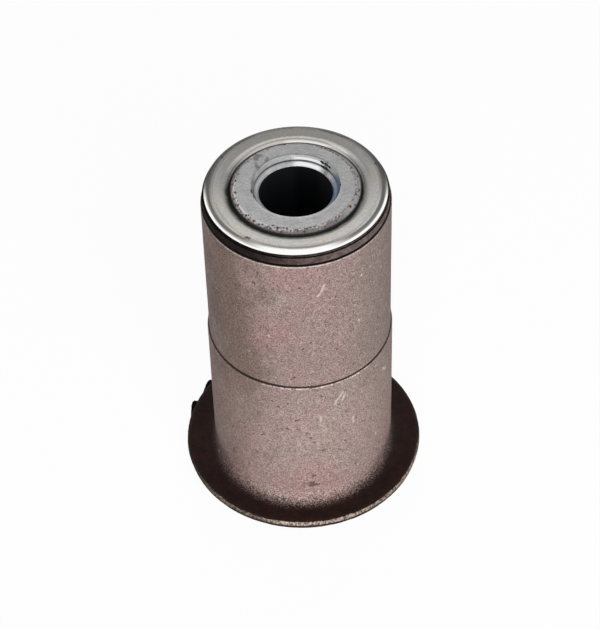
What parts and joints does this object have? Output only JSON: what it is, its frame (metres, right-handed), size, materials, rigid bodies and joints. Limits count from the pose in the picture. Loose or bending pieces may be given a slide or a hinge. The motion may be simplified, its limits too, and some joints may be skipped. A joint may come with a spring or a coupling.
{
  "type": "flanged rubber-metal pivot bush",
  "caption": "Flanged steel sleeve bonded by rubber round a thick steel tube, with an end washer, for a bolted pivot.",
  "frame": {"origin": "centre of the tube's lower end face, at the flanged end, where the bush stands", "axes": "+Z along the bush's axis, from the flanged end to the end with the washer"},
  "size_m": [0.0568, 0.0568, 0.0894],
  "materials": {
    "turned_steel": "turned, faint tool rings, light pitting at the outer edge",
    "phosphated_steel": "matt phosphate coat, pinkish brown, darker on the flange, worn bright at the rim",
    "bright_steel": "stamped sheet, satin with bright rolled edges",
    "black_rubber": "moulded, dull"
  },
  "bodies": {
    "root": {"inner_tube": "turned_steel", "outer_sleeve": "phosphated_steel", "end_washer": "bright_steel", "rubber_body": "black_rubber"}
  },
  "joints": []
}
